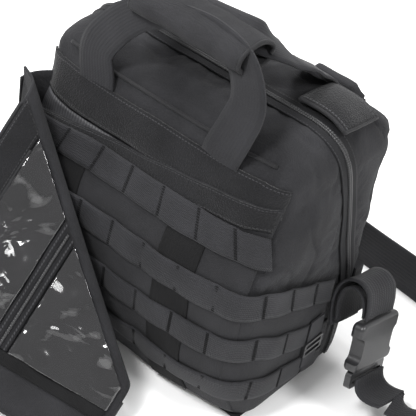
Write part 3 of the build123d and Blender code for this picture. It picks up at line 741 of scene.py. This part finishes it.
def window(name, top, foot):
    """A clear film, creased, sewn in between the crease and the end binding."""
    def waves(u, v):
        held = np.sin(np.pi * np.clip((v - top) / (foot - top), 0, 1))
        small = wobble(np.stack([u, v, 0 * u], -1), 0.055, 2.6, 3)
        return 4.0 + 1.9 * np.sin(u / 13 + 2.2 * np.sin(v / 19)) * held + small

    points, normals = flap_grid(crease, always(WINDOW_EDGE), top, foot, waves, 110, 50)
    film = slab("window_" + name, points, 0.6, "vinyl", "flap_free_side", ["flap_window_" + name], normals)


window("upper", 29, 84)
window("lower", 104, 204)
coil_u = np.linspace(crease(ZIP_V) + 2, WINDOW_EDGE - 2, 80)
tube("flap_coil", flap_points(coil_u, np.full(80, float(ZIP_V)), np.full(80, 3.2))[0], 1.7, "zip_coil",
     "flap_free_side", ring=6)
side_v = np.linspace(0, FLAP_TALL, 70)
for name, u, v, height in (("top", np.linspace(50, FLAP_WIDE, 100), np.zeros(100), 0.0),
                           ("side", free_edge(side_v), side_v, 0.0),
                           ("foot", np.linspace(225, 251, 20), np.full(20, float(FLAP_TALL)), 0.0),
                           ("mid", np.linspace(80, 277, 90), np.full(90, 28.0), 2.0)):
    tube("flap_binding_" + name, flap_points(u, v, 0 * u + height)[0], 2.0, "piping", "flap_free_side")

# the gusset between the front shell and the flap's hinge
out_share = np.linspace(0, 1, 14)[:, None].repeat(30, 1)
z = 42 + 196 * np.linspace(0, 1, 30)[None, :].repeat(14, 0)
on_shell = front_at(0 * z - 124, z)
on_hinge = np.stack([0 * z - 136, 0 * z - 84.0, z], -1)
points = on_shell * (1 - out_share)[..., None] + on_hinge * out_share[..., None]
points = points + np.array([-5.0, 0, 0]) * np.sin(np.pi * out_share)[..., None]
gusset = slab("gusset", points, 1.6, "nylon", None, ["flap_gusset"])
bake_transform(gusset)


# ---------------------------------------------------------------- handles and their grip
def handle(name, node, line, widths, facing):
    """A webbing handle along the line, which bends with its body above its sewn ends."""
    count, columns = 130, 7
    middle = spline(line, count)
    tangents = unit(np.gradient(middle, axis=0))
    side = unit(np.cross(np.broadcast_to(np.array(facing, dtype=float), middle.shape), tangents))
    normals = np.cross(tangents, side)
    width = np.interp(np.linspace(0, 1, count), np.linspace(0, 1, len(widths)), widths)
    offset = width[:, None] * np.linspace(-0.5, 0.5, columns)[None, :]
    points = middle[:, None] + side[:, None] * offset[..., None]
    points = points + normals[:, None] * wobble(points, 0.03, 0.8, 2)[..., None]
    made = slab(name, points, 2.4, "webbing", None, [node], normals[:, None].repeat(columns, 1), 0.15)
    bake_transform(made)


handle("handle_front", "front_handle",
       [(-68, -58, 236), (-70, -59, 262), (-75, -57, 288), (-62, -52, 314), (-38, -45, 337), (0, -41, 348),
        (38, -41, 350), (66, -45, 341), (82, -52, 316), (78, -56, 290), (70, -58, 262), (68, -58, 236)],
       [38, 38, 36, 32, 26, 24, 26, 32, 36, 38, 38], (0, -1, 0.15))
handle("handle_rear", "rear_handle",
       [(-78, 88, 272), (-80, 78, 285), (-84, 52, 304), (-76, 20, 330), (-50, -8, 347), (8, -22, 353),
        (54, -10, 347), (66, 18, 327), (68, 50, 304), (69, 76, 286), (70, 88, 272)],
       [36, 36, 36, 34, 28, 24, 28, 34, 36, 36, 36], (0, -0.45, 0.9))

GRIP_ENDS, GRIP_Y, GRIP_Z = (-48, 68), -31, 346
x = np.linspace(*GRIP_ENDS, 48)[:, None]
turn = np.radians(np.linspace(-28, 322, 54))[None, :]
y = GRIP_Y + (21 + 0.5 * np.sin(x / 7)) * np.cos(turn)
z = GRIP_Z + 0.5 + (10 + 1.5 * np.abs(np.cos((x - 10) / 39))) * np.sin(turn) - 2 * ((x - 10) / 60) ** 2
points = np.stack([x + 0 * turn, y, z], -1)
normals = unit(np.stack([0 * y, (y - GRIP_Y) / 21**2, (z - GRIP_Z) / 11**2], -1))
overlap = np.linspace(0, 2.4, 54)[None, :]               # the wrap's end lies on its start
points = points + normals * (wobble(points, 0.09, 0.8, 4) + overlap)[..., None]
grip = slab("grip", points.transpose(1, 0, 2), 3.4, "nylon", "front_handle", ["grip_wrap"],
            normals.transpose(1, 0, 2), 0.2)
tube("grip_binding_l", points[0], 2.1, "piping", "front_handle")
tube("grip_binding_r", points[-1], 2.1, "piping", "front_handle")
tube("grip_seam", points[:, -1] + normals[:, -1] * 1.2, 1.5, "piping", "front_handle")

# ---------------------------------------------------------------- belt
BELT_AT = np.array([188.0, 62.0, 94.0])
lean_x, lean_y = math.radians(-16), math.radians(-10)
BELT_TURN = np.array([[1, 0, 0], [0, math.cos(lean_x), -math.sin(lean_x)],
                      [0, math.sin(lean_x), math.cos(lean_x)]])
BELT_TURN = BELT_TURN @ np.array([[math.cos(lean_y), 0, math.sin(lean_y)], [0, 1, 0],
                                  [-math.sin(lean_y), 0, math.cos(lean_y)]])


def belt(name, line, body, nodes=(), thick=2.4, half_width=25, count=70):
    """Webbing through the line of (x, z) in the buckle's own frame, slightly cupped."""
    middle = spline([(x, 0, z) for x, z in line], count)
    normals = np.cross(unit(np.gradient(middle, axis=0)), np.array([0, 1.0, 0]))
    across = np.linspace(-half_width, half_width, 13)[None, :, None]
    cup = normals[:, None] * (1.2 * (across / half_width) ** 2)
    points = middle[:, None] + across * np.array([0, 1.0, 0]) + cup
    points = points @ BELT_TURN.T + BELT_AT
    slab(name, points, thick, "webbing", body, nodes, (normals @ BELT_TURN.T)[:, None].repeat(13, 1), 0.2)


belt("belt_right",
     [(-31, -16), (-34, 0), (-34, 14), (-31, 24), (-24, 31), (-12, 32), (-4, 26), (-1, 16), (0, 1)],
     "back_half", ["belt_webbing_right"])
belt("belt_lap", [(-27, -10), (-29, 10), (-25, 22), (-17, 25), (-9, 20), (-5, 10), (-4, 2)], "back_half",
     thick=2.0, half_width=24)
belt("belt_tail_web", [(5, -56), (5.5, -61), (8, -67), (14, -71.5), (23, -73), (33, -72)], "buckle_male",
     ["belt_tail"], count=40)

# the belt's long part: it leaves the tail flat, twists onto its edge and goes round behind the pack
ON_EDGE_Z = 25.5
belt_across = np.linspace(0, 1, 9)
line = [(234, 44, 31), (243, 46, 29.5), (257, 58, 27), (270, 86, 25.6)]
line += [(x, y, ON_EDGE_Z) for x, y in (
    (275, 114), (267, 150), (236, 188), (180, 206), (90, 216), (0, 223), (-90, 215), (-180, 205), (-230, 188),
    (-256, 150), (-257, 112), (-240, 88), (-212, 72))]
middle = spline(line, 240)
twist = np.clip(np.linalg.norm(middle - middle[0], axis=1) / 62, 0, 1)
twist = (twist * twist * (3 - 2 * twist))[:, None]
tangents = unit(np.gradient(middle, axis=0))
wide = np.array([0, 0.961, -0.276]) * (1 - twist) - UP * twist
wide = unit(wide - tangents * (wide * tangents).sum(1)[:, None])
lean = np.array([[noise.noise(Vector((p[0] * 0.012, p[1] * 0.012, 0))) * 3] for p in middle]) * twist
points = middle[:, None] + wide[:, None] * (49.2 * (belt_across - 0.5))[None, :, None]
points = points + np.cross(wide, tangents)[:, None] * lean[:, None] * (1 - belt_across)[None, :, None]
floor_belt = slab("belt_floor", points, 2.2, "webbing", None, ["belt_floor_strap"])
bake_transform(floor_belt)
middle = spline([(-148, 108), (-157, 102), (-173, 72), (-185, 36), (-197, 6)], 60)
x, z = middle[:, :1], middle[:, 1:]
share = belt_across[None, :]
points = np.stack([x - 1.5 * (2 * share - 1) ** 2, 47.5 + 49 * share + 0 * x, z + 0 * share], -1)
slab("belt_left", points, 2.2, "webbing", "back_half", ["belt_webbing_left"])


# ---------------------------------------------------------------- padded pieces from their CAD shapes
def cushion_sim(piece, swell):
    """Blows the piece up a little; no point moves further than swell."""
    cloth = piece.modifiers.new("c", "CLOTH")
    cloth.settings.use_pressure = True
    cloth.settings.uniform_pressure_force = 4.0
    cloth.settings.effector_weights.gravity = 0
    cloth.collision_settings.use_collision = False
    cloth.settings.shrink_min = -0.02
    mesh = piece.data
    before = np.empty(len(mesh.vertices) * 3)
    mesh.vertices.foreach_get("co", before)
    before = before.reshape(-1, 3)
    after = before + capped(run_cloth(piece, 12) - before, swell / 1000)
    piece.modifiers.clear()
    mesh.vertices.foreach_set("co", after.ravel())
    bpy.context.scene.frame_set(1)


def cushion(node, name, mat, body, voxel, blend=None, inflate=True):
    """A soft piece remeshed from its CAD node."""
    mesh = NODES[node].data.copy()
    mesh.transform(NODES[node].matrix_world)
    made = new_object(name, mesh)
    remesh = made.modifiers.new("r", "REMESH")
    remesh.mode, remesh.voxel_size = "VOXEL", voxel / 1000
    made.modifiers.new("s", "SMOOTH").iterations = 3
    made.data = mesh = applied(made)
    if inflate:
        cushion_sim(made, 3.0)
    layer = mesh.uv_layers.new(name="UVMap")
    for loop in mesh.loops:
        place = mesh.vertices[loop.vertex_index].co
        layer.data[loop.index].uv = (place.z + 0.3 * place.x, 0.3 + 0.2 * place.x)
    for vertex in mesh.vertices:
        vertex.co += vertex.normal * noise.noise(vertex.co * 60) * 0.0008
    dress(mesh, mat)
    finish_piece(made, body, [node])
    if blend:
        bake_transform(made)


cushion("back_pads", "pads", "spacer", "back_half", 5.0)
cushion("lumbar_pad", "lumbar", "spacer", "back_half", 5.0)
cushion("shoulder_yoke", "yoke", "nylon", "back_half", 4.0)
cushion("front_liner_pad", "liner", "lining", "front_half", 4.0, inflate=False)
for side_name, sign in (("left", -1), ("right", 1)):
    strap = "shoulder_strap_" + side_name
    cushion(strap, "strap_" + side_name, "nylon", None, 4.5,
            ("back_half", strap, (sign * 0.062, 0.108, 0.268), (sign * 0.062, 0.112, 0.245)))

# ---------------------------------------------------------------- finishes of the CAD pieces still shown
SHOWN = {
    "nylon": ["base_panel", "belt_anchor_left", "belt_anchor_right"],
    "sheet": ["base_stiffener", "frame_sheet"],
    "stay": ["frame_stays"],
    "lining": ["divider_panel"],
    "elastic": ["elastic_loops"],
    "mesh": ["inner_mesh_pocket"],
    "webbing": ["strap_webbing_left", "strap_webbing_right", "side_strap"],
    "webbing_dark": ["pull_lower", "pull_upper"],
    "buckle": ["ladder_lock_left", "ladder_lock_right", "buckle_female", "buckle_male", "side_strap_slide"],
    "slider_metal": ["slider_lower", "slider_upper", "flap_slider"],
}
for mat, names in SHOWN.items():
    for name in names:
        NODES[name].data.materials.clear()
        NODES[name].data.materials.append(MAT[mat])

# ---------------------------------------------------------------- room, light and camera, in metres
floor_mat = bpy.data.materials.new("m_floor")
floor_mat.use_nodes = True
floor_mat.node_tree.nodes["Principled BSDF"].inputs["Base Color"].default_value = (0.93, 0.93, 0.93, 1)
floor_mat.node_tree.nodes["Principled BSDF"].inputs["Roughness"].default_value = 0.9
bpy.ops.mesh.primitive_plane_add(size=14, location=(0, 0, 0))
floor = bpy.context.object
floor.name = "floor"
floor.data.materials.append(floor_mat)

room = bpy.data.worlds.new("room")
bpy.context.scene.world = room
room.use_nodes = True
room.node_tree.nodes["Background"].inputs[0].default_value = (1, 1, 1, 1)
room.node_tree.nodes["Background"].inputs[1].default_value = 0.75
SOFT_LIGHTS = [((-0.2, -1.4, 2.2), 0.55, 60), ((1.8, 0.3, 2.0), 0.8, 40), ((-1.3, 0.5, 2.4), 0.7, 45),
               ((-0.9, -0.4, 2.4), 0.3, 18)]            # place, size and watts
for place, size, power in SOFT_LIGHTS:
    light = bpy.data.lights.new("soft", "AREA")
    light.size, light.energy = size, power
    lamp = bpy.data.objects.new("soft", light)
    bpy.context.scene.collection.objects.link(lamp)
    lamp.location = place
    lamp.rotation_euler = (Vector((0, 0, 0.15)) - Vector(place)).to_track_quat("-Z", "Y").to_euler()

lens = bpy.data.cameras.new("camera")
lens.lens, lens.sensor_width = 112.5, 36
camera = bpy.data.objects.new("camera", lens)
bpy.context.scene.collection.objects.link(camera)
RIGHT = Vector((0.7482, 0.64876, 0.13894))
UPWARD = Vector((-0.49007, 0.39925, 0.77487))
FORWARD = Vector((-0.44723, 0.64785, -0.61666))
EYE = Vector((0.5514, -0.7603, 0.8734))
camera.matrix_world = Matrix([(RIGHT[i], UPWARD[i], -FORWARD[i], EYE[i]) for i in range(3)] + [(0, 0, 0, 1)])
bpy.context.scene.camera = camera
bpy.context.scene.view_settings.view_transform = "Standard"
